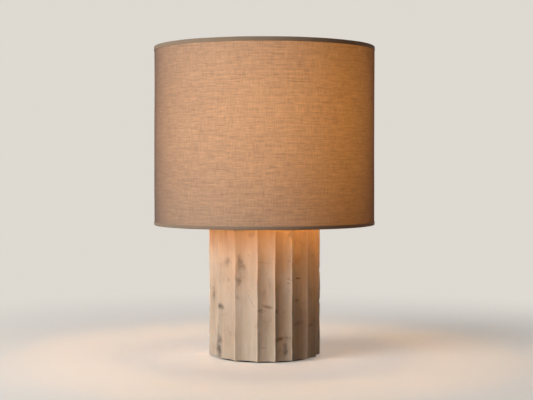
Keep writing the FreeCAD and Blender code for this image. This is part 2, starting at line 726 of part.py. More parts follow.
def terminal_screws():
    seat = terminal_seat()
    head = bar(TERMINAL_HEAD_RADIUS, seat, seat.add(V(TERMINAL_HEAD_HEIGHT, 0, 0)))
    shank = bar(TERMINAL_SHANK_RADIUS, seat.sub(V(TERMINAL_SHANK_LENGTH, 0, 0)), seat)
    return Part.makeCompound(both_sides(head.fuse(shank)))


def socket_core():
    """Moulded insulating body that holds the switch, with a pocket on each side for a terminal."""
    half = TERMINAL_HEAD_RADIUS + TERMINAL_POCKET_ROOM
    pocket = block(terminal_seat().sub(V(0, half, half)), V(skirt_outer, half, core_middle + half))
    core = cylinder(core_side, dome_top, core_top).cut(both_sides(pocket)).cut(terminal_screws())
    return core.cut(shaft_hole(SHAFT_RADIUS + SHAFT_ROOM, SHAFT_DEPTH + SHAFT_END_ROOM))


def screw_shell():
    """Rolled sleeve that the bulb screws into."""
    return thread_sleeve(screw_shell_mid, core_top, bulb_cap_bottom)


def centre_contact():
    return cylinder(CONTACT_RADIUS, core_top, contact_top)


# ---------------------------------------------------------------- switch
def switch_shaft():
    return bar(SHAFT_RADIUS, V(0, -(core_side - SHAFT_DEPTH), shaft_height),
               V(0, -(knob_start + KNOB_GRIP), shaft_height))


def switch_knob():
    """Ribbed knob that turns the switch."""
    bore = SHAFT_RADIUS
    shoulder = KNOB_NECK_LENGTH + KNOB_EDGE
    face = (KNOB_RADIUS - KNOB_EDGE, KNOB_LENGTH - KNOB_EDGE)
    knob = turned([(bore, 0), (KNOB_NECK_RADIUS, 0), (KNOB_NECK_RADIUS, KNOB_NECK_LENGTH),
                   (KNOB_RADIUS - KNOB_EDGE, KNOB_NECK_LENGTH), (KNOB_RADIUS, shoulder),
                   (KNOB_RADIUS, face[1]), (on_arc(face, KNOB_EDGE, 45), (face[0], KNOB_LENGTH)),
                   (0, KNOB_LENGTH), (0, KNOB_GRIP), (bore, KNOB_GRIP)])
    ribs = []
    for k in range(KNOB_RIBS):
        angle = math.radians(k * 360 / KNOB_RIBS)
        foot = V(KNOB_RADIUS * math.cos(angle), KNOB_RADIUS * math.sin(angle), shoulder)
        ribs.append(bar(KNOB_RIB_RADIUS, foot, V(foot.x, foot.y, face[1])))
    knob = knob.fuse(ribs)
    knob.rotate(ORIGIN, V(1, 0, 0), 90)
    knob.translate(V(0, -knob_start, shaft_height))
    return knob


# ---------------------------------------------------------------- bulb
def bulb_globe():
    """Blown glass: a straight neck that sweeps out into the globe."""
    flare_centre = (bulb_neck + BULB_FLARE, glass_neck_top)
    globe_centre = (0, globe_height)
    meet = math.degrees(math.atan2(glass_neck_top - globe_height, flare_centre[0]))

    def side(inset):
        """Neck top, sweep and globe of one face of the glass, from the neck up."""
        sweep = BULB_FLARE + inset
        globe = globe_radius - inset
        return [(bulb_neck - inset, glass_neck_top),
                (on_arc(flare_centre, sweep, 180 + meet / 2), on_arc(globe_centre, globe, meet)),
                (on_arc(globe_centre, globe, (meet + 90) / 2), (0, globe_height + globe))]

    outer = turned([(0, glass_bottom), (bulb_neck, glass_bottom)] + side(0))
    inner = turned([(0, glass_bottom), (bulb_neck - GLASS_WALL, glass_bottom)] + side(GLASS_WALL))
    return outer.cut(inner)


def bulb_cap():
    return thread_sleeve(THREAD_RADIUS, bulb_cap_bottom - SLIP, bulb_cap_bottom)


def bulb_insulator():
    return turned([(0, insulator_bottom), (INSULATOR_TIP, insulator_bottom),
                   (bulb_cap_bore - SLIP, bulb_cap_bottom),
                   (bulb_cap_bore - SLIP, bulb_cap_bottom + INSULATOR_SEAT),
                   (0, bulb_cap_bottom + INSULATOR_SEAT)])


def bulb_tip():
    """Drop of solder that meets the centre contact."""
    bulge = ((TIP_RADIUS + TIP_FLAT) / 2 + SLIP, (tip_bottom + insulator_bottom) / 2 - SLIP)
    return turned([(0, tip_bottom), (TIP_FLAT, tip_bottom), (bulge, (TIP_RADIUS, insulator_bottom)),
                   (0, insulator_bottom)])


def bulb_stem():
    """Glass stem, flared at its foot, that carries the leads."""
    flange = bulb_neck - GLASS_WALL - SLIP
    return turned([(0, glass_bottom), (flange, glass_bottom), (flange, glass_bottom + STEM_FLANGE_HEIGHT),
                   (STEM_RADIUS, glass_bottom + STEM_FLARE_HEIGHT), (STEM_RADIUS, stem_top), (0, stem_top)])


def bulb_filament():
    end = V(LEAD_SPREAD, 0, globe_height)
    points = [V(-end.x, 0, end.z), V(0, 0, end.z + FILAMENT_RISE), end]
    return bent_wire(points, [FILAMENT_BEND], FILAMENT_RADIUS)


def bulb_leads():
    lead = bar(LEAD_RADIUS, V(LEAD_FOOT, 0, stem_top), V(LEAD_SPREAD, 0, globe_height))
    lead = lead.cut(bulb_filament()).cut(bulb_stem())
    return Part.makeCompound(both_sides(lead))


# ---------------------------------------------------------------- write every sub-part
NODES = (
    foot_pad, column, base_plate, base_washer, lock_washer, base_nut, lamp_pipe, cord_gland, gland_nut,
    cap_gasket, column_cap, neck_spacer, harp_saddle, saddle_nut,
    socket_cap, set_screw, socket_shell, socket_liner, socket_core, screw_shell, centre_contact,
    terminal_screws, switch_shaft, switch_knob,
    bulb_globe, bulb_cap, bulb_insulator, bulb_tip, bulb_stem, bulb_leads, bulb_filament,
    harp_wire, left_sleeve, right_sleeve, harp_stud,
    shade_linen, shade_liner, top_ring, bottom_ring, spider_arms, spider_hub, top_trim, bottom_trim, finial,
)

os.makedirs("parts", exist_ok=True)
for make in NODES:
    shape = make()
    if not shape.isValid() or shape.Volume <= 0:
        raise ValueError(make.__name__ + " isn't a sound solid")
    shape.exportStep("parts/" + make.__name__ + ".step")
    print(make.__name__, len(shape.Solids), "solids,", round(shape.Volume / 1000, 3), "cm3")
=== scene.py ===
"""Column table lamp: a fluted stone column under a linen drum shade, lit from inside, with a painted glow on
its cloth.
"""

import json
import math
import random

import bpy
import numpy as np
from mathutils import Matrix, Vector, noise

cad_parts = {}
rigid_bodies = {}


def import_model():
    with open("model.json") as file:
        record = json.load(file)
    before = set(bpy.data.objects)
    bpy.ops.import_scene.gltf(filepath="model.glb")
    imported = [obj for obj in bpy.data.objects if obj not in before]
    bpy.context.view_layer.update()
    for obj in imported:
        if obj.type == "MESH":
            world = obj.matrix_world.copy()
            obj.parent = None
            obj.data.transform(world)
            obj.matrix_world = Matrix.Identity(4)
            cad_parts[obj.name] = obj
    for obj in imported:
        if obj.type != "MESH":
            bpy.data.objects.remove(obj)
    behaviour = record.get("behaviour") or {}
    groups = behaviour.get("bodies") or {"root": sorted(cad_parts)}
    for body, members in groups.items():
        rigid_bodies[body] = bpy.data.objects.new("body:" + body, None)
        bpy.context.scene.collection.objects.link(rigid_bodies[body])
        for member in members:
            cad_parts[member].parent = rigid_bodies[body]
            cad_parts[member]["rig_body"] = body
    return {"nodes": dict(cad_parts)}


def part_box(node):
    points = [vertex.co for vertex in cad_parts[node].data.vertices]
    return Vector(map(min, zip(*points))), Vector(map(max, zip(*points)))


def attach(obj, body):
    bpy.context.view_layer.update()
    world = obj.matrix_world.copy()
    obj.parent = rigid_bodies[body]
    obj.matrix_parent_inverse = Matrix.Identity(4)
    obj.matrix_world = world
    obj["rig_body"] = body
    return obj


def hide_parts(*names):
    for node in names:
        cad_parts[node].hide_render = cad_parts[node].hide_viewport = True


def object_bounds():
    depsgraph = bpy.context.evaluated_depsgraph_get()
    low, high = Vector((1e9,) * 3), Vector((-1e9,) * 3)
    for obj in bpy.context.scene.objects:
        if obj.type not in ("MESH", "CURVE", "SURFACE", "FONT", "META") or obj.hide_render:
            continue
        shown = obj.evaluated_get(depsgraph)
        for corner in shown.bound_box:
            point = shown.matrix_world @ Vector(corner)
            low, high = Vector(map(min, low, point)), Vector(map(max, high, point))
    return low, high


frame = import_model()
CAD_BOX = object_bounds()
NODES = frame["nodes"]
MM = 0.001

# ---------------------------------------------------------------- the column's own sizes
ARRIS_RADIUS = max(math.hypot(v.co.x, v.co.y) for v in NODES["column"].data.vertices)
FLUTE_DEPTH_SHARE = 0.12       # depth of a flute as a share of its own width
ARRIS_WEAR = 0.30 * MM         # how far the sharp edges between the flutes are worn back
END_EASE = 1.0 * MM            # rounding of the stone's two rims
COLUMN_WALLS = 250             # sides of the turned blank and of each flute's cutter
COLUMN_ROWS = 100
SKIN_SHARE = 0.9               # points past this share of the arris radius are on the carved outside
# Unevenness of the carving: size of its waves and their height in millimetres, direction, seed.
COLUMN_RIPPLES = ((55, 2.3, "X", 1), (48, 2.3, "Y", 2), (13, 0.8, "X", 3), (14, 0.8, "Y", 4))
ARRIS_CHIPS = 46
RIM_CHIPS = 30
RIM_CHIP_HEIGHTS = (4.0, 284.0)    # millimetres
PLATE_ROOM = 0.5 * MM          # radial room of the base plate in its recess
PLATE_LEDGE = 4.0 * MM         # width of the step that the base plate bears on
ROOF = 32.0 * MM               # stone left above the core
PIPE_ROOM = 0.3 * MM
GLAND_SLEEVE = 4.7 * MM        # radius of the channel for the cord's bush
GLAND_FLANGE = 2.2 * MM        # thickness of the bush's flange
SPOT_FACE_ROOM = 0.6 * MM

# ---------------------------------------------------------------- the shade's own sizes
DRUM_SIDES = 360
DRUM_ROWS = 40
LINEN_THICKNESS = 0.8 * MM
SEAM_HALF = 6.0 * MM           # half the overlap of the linen at the back
SEAM_PROUD = 0.45 * MM
TAPE_THICKNESS = 0.7 * MM
TAPE_DEPTH = 6.9 * MM          # from a tape's outer layer in to its inner one
TAPE_BEND = 1.6 * MM
TAPE_TUCK = 6.3 * MM           # how far the tape runs back inside
TAPE_BELLY = 0.05 * MM
SEAM_TO_TAPE = 0.3 * MM
TOUCH = 0.01 * MM              # points this near to a line count as on it
LONG_EDGE = 0.1                # metres; only the upright edges of the column and the drum are longer


# ---------------------------------------------------------------- modelling
def work_on(piece):
    """Selects one piece and nothing else."""
    if bpy.context.object and bpy.context.object.mode == "EDIT":
        bpy.ops.object.mode_set(mode="OBJECT")
    bpy.ops.object.select_all(action="DESELECT")
    piece.select_set(True)
    bpy.context.view_layer.objects.active = piece


def settled(piece, name):
    """Names a new piece and moves its place into its mesh."""
    piece.name = piece.data.name = name
    work_on(piece)
    bpy.ops.object.transform_apply(location=True, rotation=True, scale=True)
    return piece


def cylinder(name, radius, bottom, top, sides, centre=(0.0, 0.0), ends="NGON"):
    """Round bar that stands on end."""
    bpy.ops.mesh.primitive_cylinder_add(
        vertices=sides, radius=radius, depth=top - bottom, end_fill_type=ends,
        location=(*centre, (bottom + top) / 2))
    return settled(bpy.context.object, name)


def lying_bar(name, radius, start, end, height, sides):
    """Round bar along Y, from start to end."""
    bpy.ops.mesh.primitive_cylinder_add(
        vertices=sides, radius=radius, depth=end - start,
        location=(0, (start + end) / 2, height), rotation=(math.pi / 2, 0, 0))
    return settled(bpy.context.object, name)


def cut(piece, tool):
    """Takes one solid out of another."""
    work_on(piece)
    step = piece.modifiers.new("cut", "BOOLEAN")
    step.operation = "DIFFERENCE"
    step.solver = "EXACT"
    step.object = tool
    bpy.ops.object.modifier_apply(modifier=step.name)
    bpy.data.objects.remove(tool)


def select(piece, kind, wanted):
    """Goes into edit mode with the edges or faces selected whose points pass a test."""
    work_on(piece)
    bpy.ops.object.mode_set(mode="EDIT")
    bpy.ops.mesh.select_mode(type=kind)
    bpy.ops.mesh.select_all(action="DESELECT")
    bpy.ops.object.mode_set(mode="OBJECT")
    points = piece.data.vertices
    for item in piece.data.edges if kind == "EDGE" else piece.data.polygons:
        item.select = wanted([points[i].co for i in item.vertices])
    bpy.ops.object.mode_set(mode="EDIT")


def upright(points):
    return abs(points[0].z - points[1].z) > LONG_EDGE


def slice_level(height):
    """Cuts the selected faces at a height, in edit mode."""
    bpy.ops.mesh.bisect(plane_co=(0, 0, height), plane_no=(0, 0, 1))


def moved(piece, move):
    """Moves a piece's points one by one, as a carver's or a sewer's hand does."""
    work_on(piece)
    for point in piece.data.vertices:
        point.co = move(point.co)


def ripple(piece, scale, strength, direction, seed, group=""):
    """Uneven handwork: a cloud texture that pushes the surface in and out."""
    cloud = bpy.data.textures.new(f"{piece.name}_{seed}", "CLOUDS")
    cloud.noise_scale = scale
    cloud.noise_depth = 1
    work_on(piece)
    step = piece.modifiers.new("ripple", "DISPLACE")
    step.texture = cloud
    step.texture_coords = "LOCAL"
    step.direction = direction
    step.strength = strength
    step.vertex_group = group
    bpy.ops.object.modifier_apply(modifier=step.name)


def thickened(piece, thickness, offset):
    work_on(piece)
    step = piece.modifiers.new("thickness", "SOLIDIFY")
    step.thickness = thickness
    step.offset = offset
    step.use_even_offset = True
    bpy.ops.object.modifier_apply(modifier=step.name)


def finished(piece, node, finish, crease=30):
    """Merges doubles, turns the faces outwards, shades, and puts the piece in its CAD node's place."""
    work_on(piece)
    bpy.ops.object.mode_set(mode="EDIT")
    bpy.ops.mesh.select_all(action="SELECT")
    bpy.ops.mesh.remove_doubles(threshold=0.002 * MM)
    bpy.ops.mesh.normals_make_consistent(inside=False)
    bpy.ops.object.mode_set(mode="OBJECT")
    bpy.ops.object.shade_smooth_by_angle(angle=math.radians(crease))
    piece.data.materials.clear()
    piece.data.materials.append(finish)
    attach(piece, NODES[node]["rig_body"])
    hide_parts(node)
    return piece


def turned_sheet(name, profile, sides):
    """A circle at the first (radius, height), extruded through the others."""
    (radius, height), *others = profile
    bpy.ops.mesh.primitive_circle_add(vertices=sides, radius=radius, location=(0, 0, height))
    piece = settled(bpy.context.object, name)
    bpy.ops.object.mode_set(mode="EDIT")
    bpy.ops.mesh.select_all(action="SELECT")
    for next_radius, next_height in others:
        bpy.ops.mesh.extrude_edges_move()
        grow = next_radius / radius
        bpy.ops.transform.resize(value=(grow, grow, 1), center_override=(0, 0, height))
        bpy.ops.transform.translate(value=(0, 0, next_height - height))
        radius, height = next_radius, next_height
    bpy.ops.object.mode_set(mode="OBJECT")
    return piece


def cloth_map(piece, radius):
    """A UV map in metres: round the drum from the middle of the front, and up."""
    mesh = piece.data
    while mesh.uv_layers:
        mesh.uv_layers.remove(mesh.uv_layers[0])
    layer = mesh.uv_layers.new(name="cloth")
    for face in mesh.polygons:
        middle = math.atan2(face.center.x, -face.center.y)
        for loop in face.loop_indices:
            place = mesh.vertices[mesh.loops[loop].vertex_index].co
            turn = math.atan2(place.x, -place.y)
            turn -= math.tau * round((turn - middle) / math.tau)
            layer.data[loop].uv = (turn * radius, place.z)


# ---------------------------------------------------------------- shader maths
class Value:
    """A socket in a material, with Python's arithmetic."""

    def __init__(self, finish, socket):
        self.finish = finish
        self.socket = socket

    def maths(self, operation, *others):
        return self.finish.node("ShaderNodeMath", {"operation": operation}, [self, *others])

    def __add__(self, other):
        return self.maths("ADD", other)

    def __mul__(self, other):
        return self.maths("MULTIPLY", other)

    def __sub__(self, other):
        return self.maths("SUBTRACT", other)

    def __truediv__(self, other):
        return self.maths("DIVIDE", other)

    def __neg__(self):
        return self * -1.0

    __radd__ = __add__
    __rmul__ = __mul__


class Finish:
    """The nodes of a material or a world. Its one method adds a node: settings first, then sockets."""

    def __init__(self, holder):
        self.holder = holder
        holder.use_nodes = True
        self.tree = holder.node_tree
        self.tree.nodes.clear()

    def node(self, kind, settings=None, sockets=(), out=0):
        made = self.tree.nodes.new(kind)
        for key, setting in (settings or {}).items():
            setattr(made, key, setting)
        items = sockets.items() if isinstance(sockets, dict) else enumerate(sockets)
        for key, given in items:
            if isinstance(given, Value):
                self.tree.links.new(given.socket, made.inputs[key])
            elif given is not None:
                made.inputs[key].default_value = given
        return Value(self, made.outputs[out]) if made.outputs else None


def material(name):
    return Finish(bpy.data.materials.new(name))


def srgb(red, green, blue):
    """A colour as a screen shows it, 0 to 255, in the linear numbers that a shader takes."""
    shares = [c / 255 for c in (red, green, blue)]
    return tuple(c / 12.92 if c <= 0.04045 else ((c + 0.055) / 1.055) ** 2.4 for c in shares)


def parts_of(finish, vector):
    split = finish.node("ShaderNodeSeparateXYZ", {}, [vector])
    return [Value(finish, s) for s in split.socket.node.outputs]


def vector_of(finish, x, y, z=0.0):
    return finish.node("ShaderNodeCombineXYZ", {}, [x, y, z])


def place_on(finish):
    """The place on the piece, in metres."""
    return finish.node("ShaderNodeTexCoord", {}, out="Object")


def stretched(finish, vector, x, y, z):
    """The same place on a scale of its own along each axis."""
    return finish.node("ShaderNodeMapping", {}, {"Vector": vector, "Scale": (x, y, z)})


def cloudy(finish, vector, scale=1.0, detail=2.0, rough=0.5, out="Fac"):
    """Soft noise from 0 to 1."""
    return finish.node("ShaderNodeTexNoise", {}, {
        "Vector": vector, "Scale": scale, "Detail": detail, "Roughness": rough}, out=out)


def step(finish, value, start, end, low=0.0, high=1.0):
    """A smooth step from low to high as value goes from start to end."""
    return finish.node("ShaderNodeMapRange", {"interpolation_type": "SMOOTHSTEP"}, {
        "Value": value, "From Min": start, "From Max": end, "To Min": low, "To Max": high})


def blend(finish, share, first, second):
    """Two colours mixed by a share."""
    def solid(colour):
        return (*colour, 1.0) if isinstance(colour, tuple) else colour
    return finish.node("ShaderNodeMix", {"data_type": "RGBA"}, {
        0: share, 6: solid(first), 7: solid(second)}, out=2)


def shaded(finish, colour, factor):
    """A colour made lighter or darker by a factor that may vary."""
    return finish.node("ShaderNodeVectorMath", {"operation": "SCALE"}, {
        0: colour, "Scale": factor})


def bump(finish, height, strength, distance):
    return finish.node("ShaderNodeBump", {}, {
        "Height": height, "Strength": strength, "Distance": distance})


def surface(finish, colour, roughness, normal=None, **more):
    """The shader itself. Names in more are the sockets', with _ for a space."""
    sockets = {"Base Color": (*colour, 1.0) if isinstance(colour, tuple) else colour,
               "Roughness": roughness, "Normal": normal}
    sockets.update({key.replace("_", " "): given for key, given in more.items()})
    shader = finish.node("ShaderNodeBsdfPrincipled", {}, sockets)
    finish.node("ShaderNodeOutputMaterial", {}, [shader])
    return finish.holder


# ---------------------------------------------------------------- stone
# Marks in the stone: degrees round the column from the front towards +X, height, half width and half
# height in millimetres, tilt in degrees, and how dark the mark is. The front's are the photo's.
BROWN_MARKS = (
    (-44.9, 190, 16, 9.4, 10, 0.50), (-42.7, 155, 4.1, 4.2, 0, 0.50), (-25.7, 185, 8.7, 17.8, 3, 0.66),
    (-27.1, 153, 6.3, 13.1, 0, 0.60), (-28.3, 124, 4.7, 6.4, 0, 0.40), (-13.7, 247, 8.6, 11.2, 0, 0.40),
    (6.3, 154, 5.6, 11.2, 0, 0.30), (3.3, 107, 11.6, 3.7, -8, 0.70), (-3.4, 100, 8.2, 3.0, 6, 0.60),
    (-1.6, 29, 8.2, 2.6, 0, 0.45), (16.0, 45, 11.3, 4.5, 5, 0.80), (25.6, 47, 8.3, 2.6, -12, 0.55),
    (12.4, 99, 3.4, 4.1, 0, 0.60), (19.9, 97, 3.2, 3.0, 0, 0.50), (36.9, 116, 8.0, 4.1, 0, 0.60),
    (29.6, 128, 4.3, 1.9, 0, 0.45), (38.2, 74, 12.5, 5.3, 0, 0.50), (56.0, 67, 15.0, 2.5, 4, 0.60),
    (39.8, 159, 11.3, 1.6, -2, 0.75), (29.9, 156, 6.5, 1.6, 0, 0.60), (25.6, 160, 5.0, 1.7, 0, 0.60),
    (26.2, 150, 4.6, 1.7, 0, 0.55), (26.0, 192, 4.2, 1.9, 8, 0.40), (61.6, 200, 4.0, 3.1, 0, 0.50),
    (59.0, 126, 11.1, 11.4, 0, 0.35), (-70.2, 22, 20.0, 9.6, 0, 0.30), (-4.6, 53, 4.5, 11.2, 0, 0.25),
    (-33.6, 84, 3.6, 11.3, 0, 0.30), (-23.2, 162, 12.2, 22.5, 0, 0.28), (0.3, 131, 7.5, 16.8, 0, 0.25),
    (14.4, 142, 9.6, 16.8, 0, 0.28), (38.2, 193, 14.4, 15.1, 0, 0.25),
    (110, 170, 9, 24, 6, 0.70), (124, 92, 14, 4, -8, 0.60), (150, 214, 7, 10, 0, 0.45),
    (164, 60, 10, 20, -10, 0.60), (-160, 150, 9, 22, 8, 0.65), (-141, 96, 13, 4, 10, 0.55),
    (-118, 205, 6, 9, 0, 0.50), (-98, 70, 8, 14, -6, 0.60))
MAUVE_MARKS = (
    (-74.1, 123, 7.0, 13.9, 4, 0.60), (-52.4, 104, 5.4, 8.7, 32, 0.80), (-56.0, 56, 5.2, 13.0, 0, 0.65),
    (-59.2, 25, 9.0, 20.0, 2, 0.95), (-53.8, 41, 6.0, 12.0, 0, 0.60), (22.0, 24, 5.6, 12.0, -8, 0.70),
    (16.0, 22, 3.5, 9.3, 0, 0.40), (3.3, 169, 5.6, 22.4, 0, 0.20), (-3.1, 85, 4.5, 11.2, 0, 0.25),
    (86, 40, 4, 26, 4, 0.70), (135, 130, 4, 30, -5, 0.70), (-171, 28, 6, 22, 4, 0.70),
    (-53.4, 21, 4.0, 17.0, 0, 0.90), (-64.5, 27, 4.5, 19.0, 0, 0.75), (-128, 130, 5, 8, 20, 0.60))
# Hairlines: degrees, height and half length in millimetres, tilt.
HAIRLINES = (
    (-16.3, 125, 9.2, -69), (-11.8, 109, 8.7, -54), (-13.6, 116, 8.6, -58), (-15.3, 136, 7.1, -66),
    (4.8, 109, 7.9, 18), (-0.7, 97, 9.7, 17), (18.2, 45, 13.4, -17), (39.5, 159, 10.7, -6),
    (-39.5, 191, 11.3, -39), (-17.2, 204, 7.5, -48), (56.7, 67, 13.2, -12), (27.3, 243, 8.2, -67),
    (42.6, 226, 11.4, -22), (102, 120, 20, -50), (146, 84, 17, 12), (-170, 190, 22, -60), (-112, 150, 18, 55))
HAIRLINE_HALF_WIDTH = 0.75 * MM

STAINS_AND_HIGHLIGHT = "stains_and_highlight"
STAIN_SEED = 5
STRAY_SHARE = 0.5              # how far a stain's edge wanders, as a share of its size
CORE_SHARE = 0.60              # how much of a stain's darkness is in its core; the rest is its halo
ARRIS_HIGHLIGHT_REACH = 3.2 * MM           # how far from an arris the stone is painted pale: a painted highlight, with some rubbed wear


def paint_stains_and_highlight(piece):
    """Marks the stone's points: x where it is stained brown, y where mauve, z near an arris, where a painted
    highlight and rubbed wear make it pale.
    """
    points = np.array([v.co for v in piece.data.vertices])
    noise.seed_set(STAIN_SEED)
    stray = np.array([noise.noise_vector(v.co * 60) + 0.6 * noise.noise_vector(v.co * 150)
                      for v in piece.data.vertices])
    turn = np.arctan2(points[:, 0], -points[:, 1])
    dice = random.Random(11)
    painted = np.zeros((len(points), 3))

    def beside(degrees):
        """Distance round the column from a line up it."""
        away = np.remainder(turn - math.radians(degrees) + math.pi, math.tau) - math.pi
        return away * ARRIS_RADIUS

    for kind, rows, smudges in ((0, BROWN_MARKS, 26), (1, MAUVE_MARKS, 12)):
        small = [(dice.uniform(-180, 180), dice.uniform(10, 275), dice.uniform(3, 9), dice.uniform(2, 9),
                  dice.uniform(-20, 20), dice.uniform(0.12, 0.34)) for _ in range(smudges)]
        for angle, height, wide, tall, tilt, dark in (*rows, *small):
            aside = beside(angle) + stray[:, 0] * STRAY_SHARE * wide * MM
            above = points[:, 2] - height * MM + stray[:, 2] * STRAY_SHARE * tall * MM
            lean = math.radians(tilt)
            across = (aside * math.cos(lean) + above * math.sin(lean)) / (wide * MM)
            along = (above * math.cos(lean) - aside * math.sin(lean)) / (tall * MM)
            away = np.hypot(across, along)
            core = np.clip((1.5 - away) / 1.2, 0, 1)
            halo = np.clip((2.3 - away) / 2.0, 0, 1)
            shade = dark * (core * core * (3 - 2 * core) * CORE_SHARE + halo * halo * (1 - CORE_SHARE))
            np.maximum(painted[:, kind], shade, out=painted[:, kind])
    # Painted highlight along each arris, partly rubbed wear: the stone is painted pale near it.
    for angle in arris_angles():
        near = np.clip(1 - np.abs(beside(angle)) / ARRIS_HIGHLIGHT_REACH, 0, 1)
        np.maximum(painted[:, 2], near, out=painted[:, 2])
    layer = piece.data.attributes.new(STAINS_AND_HIGHLIGHT, "FLOAT_VECTOR", "POINT")
    layer.data.foreach_set("vector", painted.ravel())


def stone():
    finish = material("pale_stone")
    place = place_on(finish)
    x, y, z = parts_of(finish, place)
    turn = x.maths("ARCTAN2", -y)
    rounds = vector_of(finish, turn * ARRIS_RADIUS, z)
    ragged = cloudy(finish, place, 70.0, 5.0, 0.65, "Color")
    ragged = finish.node("ShaderNodeVectorMath", {"operation": "SUBTRACT"}, [ragged, (0.5, 0.5, 0.5)])
    wavering = finish.node("ShaderNodeVectorMath", {"operation": "MULTIPLY_ADD"}, [
        ragged, (0.007, 0.007, 0.0), rounds])
    hair = None
    for angle, height, long, tilt in HAIRLINES:
        centred = finish.node("ShaderNodeMapping", {"vector_type": "TEXTURE"}, {
            "Vector": wavering, "Location": (math.radians(angle) * ARRIS_RADIUS, height * MM, 0),
            "Rotation": (0, 0, math.radians(tilt)), "Scale": (long * MM, HAIRLINE_HALF_WIDTH, 1)})
        away = finish.node("ShaderNodeVectorMath", {"operation": "LENGTH"}, [centred], out="Value")
        line = step(finish, away, 1.0, 0.3)
        hair = line if hair is None else hair.maths("MAXIMUM", line)
    hair = hair * 0.5
    stains_and_highlight = finish.node("ShaderNodeAttribute", {"attribute_name": STAINS_AND_HIGHLIGHT}, out="Vector")
    frayed = cloudy(finish, place, 150.0, 4.0, 0.65) - 0.5
    brown, mauve, highlight_and_rub = parts_of(finish, stains_and_highlight)
    brown, mauve = [step(finish, stain * (frayed * 1.7 + 1.0) + frayed * 0.10, 0.03, 1.05)
                    for stain in (brown, mauve)]

    blotch = cloudy(finish, place, 11.0, 3.0, 0.55)
    drift = cloudy(finish, stretched(finish, place, 30.0, 30.0, 6.0), 1.0, 3.0, 0.6)
    grain = cloudy(finish, stretched(finish, place, 420.0, 420.0, 14.0), 1.0, 2.0, 0.6)
    tooled = cloudy(finish, stretched(finish, place, 120.0, 120.0, 5.0), 1.0, 3.0, 0.6)
    crumb = cloudy(finish, place, 520.0, 3.0, 0.6)
    vein = cloudy(finish, stretched(finish, place, 9.0, 9.0, 5.0), 1.0, 4.0, 0.6) - 0.5
    vein = step(finish, vein.maths("ABSOLUTE"), 0.010, 0.0) * step(finish, blotch, 0.45, 0.62)

    colour = blend(finish, step(finish, blotch, 0.32, 0.68), srgb(202, 184, 164), srgb(188, 168, 146))
    colour = blend(finish, step(finish, drift, 0.52, 0.75, 0.0, 0.60), colour, srgb(168, 142, 120))
    colour = blend(finish, step(finish, drift, 0.46, 0.28, 0.0, 0.50), colour, srgb(213, 200, 184))
    colour = blend(finish, vein * 0.30, colour, srgb(150, 120, 98))
    colour = blend(finish, brown * 0.85, colour, srgb(104, 78, 56))
    colour = blend(finish, hair, colour, srgb(112, 86, 68))
    # Painted highlight: the stone is made paler along the arrises, partly as rubbed wear.
    colour = blend(finish, highlight_and_rub * 0.45, colour, srgb(216, 201, 184))
    # The mauve marks run on over the painted arris highlights and rubbed wear.
    colour = blend(finish, mauve * 0.85, colour, srgb(92, 76, 70))
    tone = (grain - 0.5) * 0.14 + (tooled - 0.5) * 0.34 + (crumb - 0.5) * 0.10 + 1.0
    colour = shaded(finish, colour, tone)

    pits = step(finish, cloudy(finish, place, 300.0, 2.0, 0.5), 0.36, 0.30)
    relief = grain * 0.5 + crumb * 0.35 - pits * 0.6 - hair * 0.8 - brown * 0.25
    normal = bump(finish, relief, 0.45, 0.5 * MM)
    dull = (crumb - 0.5) * 0.12 + brown * 0.10 + 0.62
    return surface(finish, colour, dull, normal, Specular_IOR_Level=0.35)


def arris_angles():
    """Where the arrises stand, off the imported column: degrees from the front (-Y) towards +X."""
    points = [v.co for v in NODES["column"].data.vertices]
    edge = max(math.hypot(p.x, p.y) for p in points) - 0.05 * MM
    turns = {round(math.degrees(math.atan2(p.x, -p.y)), 1) % 360
             for p in points if math.hypot(p.x, p.y) > edge}
    return sorted(turns)


def flute_cutters(bottom, top):
    angles = arris_angles()
    for start, end in zip(angles, angles[1:] + [angles[0] + 360]):
        half = math.radians(end - start) / 2
        middle = math.radians(start + end) / 2
        half_width = ARRIS_RADIUS * math.sin(half)
        depth = FLUTE_DEPTH_SHARE * 2 * half_width
        radius = (half_width ** 2 + depth ** 2) / (2 * depth)
        away = ARRIS_RADIUS * math.cos(half) - depth + radius
        centre = (away * math.sin(middle), -away * math.cos(middle))
        yield cylinder("flute", radius, bottom, top, COLUMN_WALLS, centre)


def chips():
    """Small losses along the arrises and the rims: degrees, height, reach and depth, in metres."""
    dice = random.Random(7)
    angles = arris_angles()
    found = [(math.radians(28.8), 238 * MM, 9 * MM, 2.2 * MM),
             (math.radians(28.6), 228 * MM, 5 * MM, 1.0 * MM)]
    for _ in range(ARRIS_CHIPS):
        angle = math.radians(dice.choice(angles) + dice.uniform(-0.6, 0.6))
        height = dice.uniform(8, 280) * MM
        found.append((angle, height, dice.uniform(3, 7) * MM, dice.uniform(0.3, 1.1) * MM))
    for _ in range(RIM_CHIPS):
        angle = dice.uniform(0, math.tau)
        height = dice.choice(RIM_CHIP_HEIGHTS) * MM
        found.append((angle, height, dice.uniform(3, 6) * MM, dice.uniform(0.3, 0.9) * MM))
    return found


